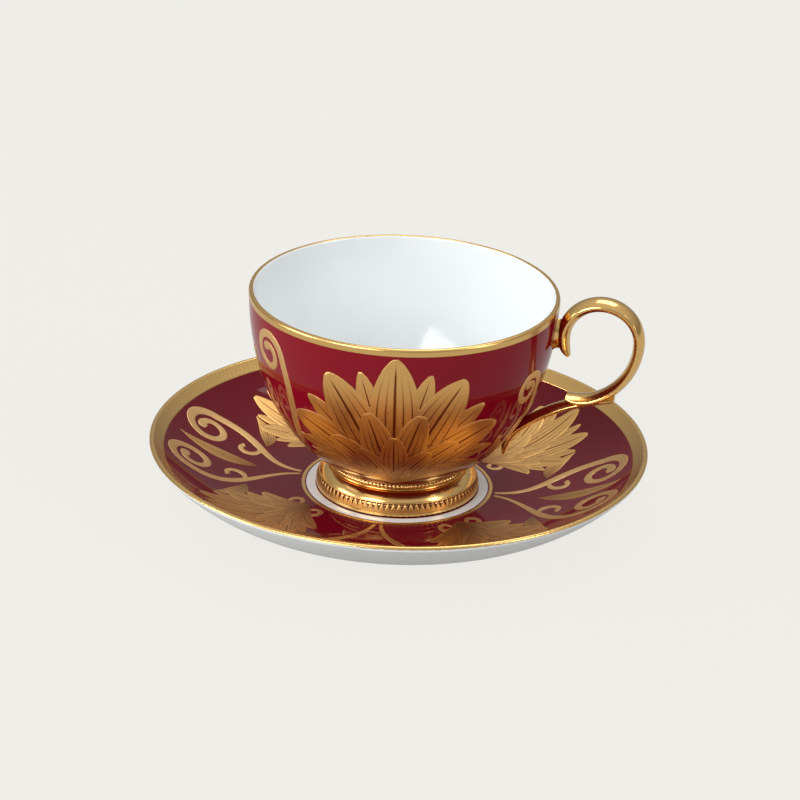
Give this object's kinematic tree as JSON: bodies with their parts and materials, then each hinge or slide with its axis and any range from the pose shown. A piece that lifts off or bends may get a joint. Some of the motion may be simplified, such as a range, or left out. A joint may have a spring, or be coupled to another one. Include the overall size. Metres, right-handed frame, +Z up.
{
  "type": "teacup and saucer",
  "caption": "Footed porcelain teacup with a gilded scroll handle, standing on its dished saucer, in deep red glaze with gold bands and gold foliage.",
  "frame": {"origin": "centre of the saucer's foot ring, on the surface it stands on", "axes": "+Z up along the axis of the cup and the saucer, +X towards the cup's handle"},
  "size_m": [0.154, 0.154, 0.0755],
  "materials": {
    "red_glaze": "high gloss deep red glaze with gold rim, white underside",
    "gilded_glaze": "high gloss deep red glaze outside, white glaze inside, polished gold rim, handle and foot"
  },
  "bodies": {
    "root": {"saucer": "red_glaze", "teacup": "gilded_glaze"}
  },
  "joints": []
}
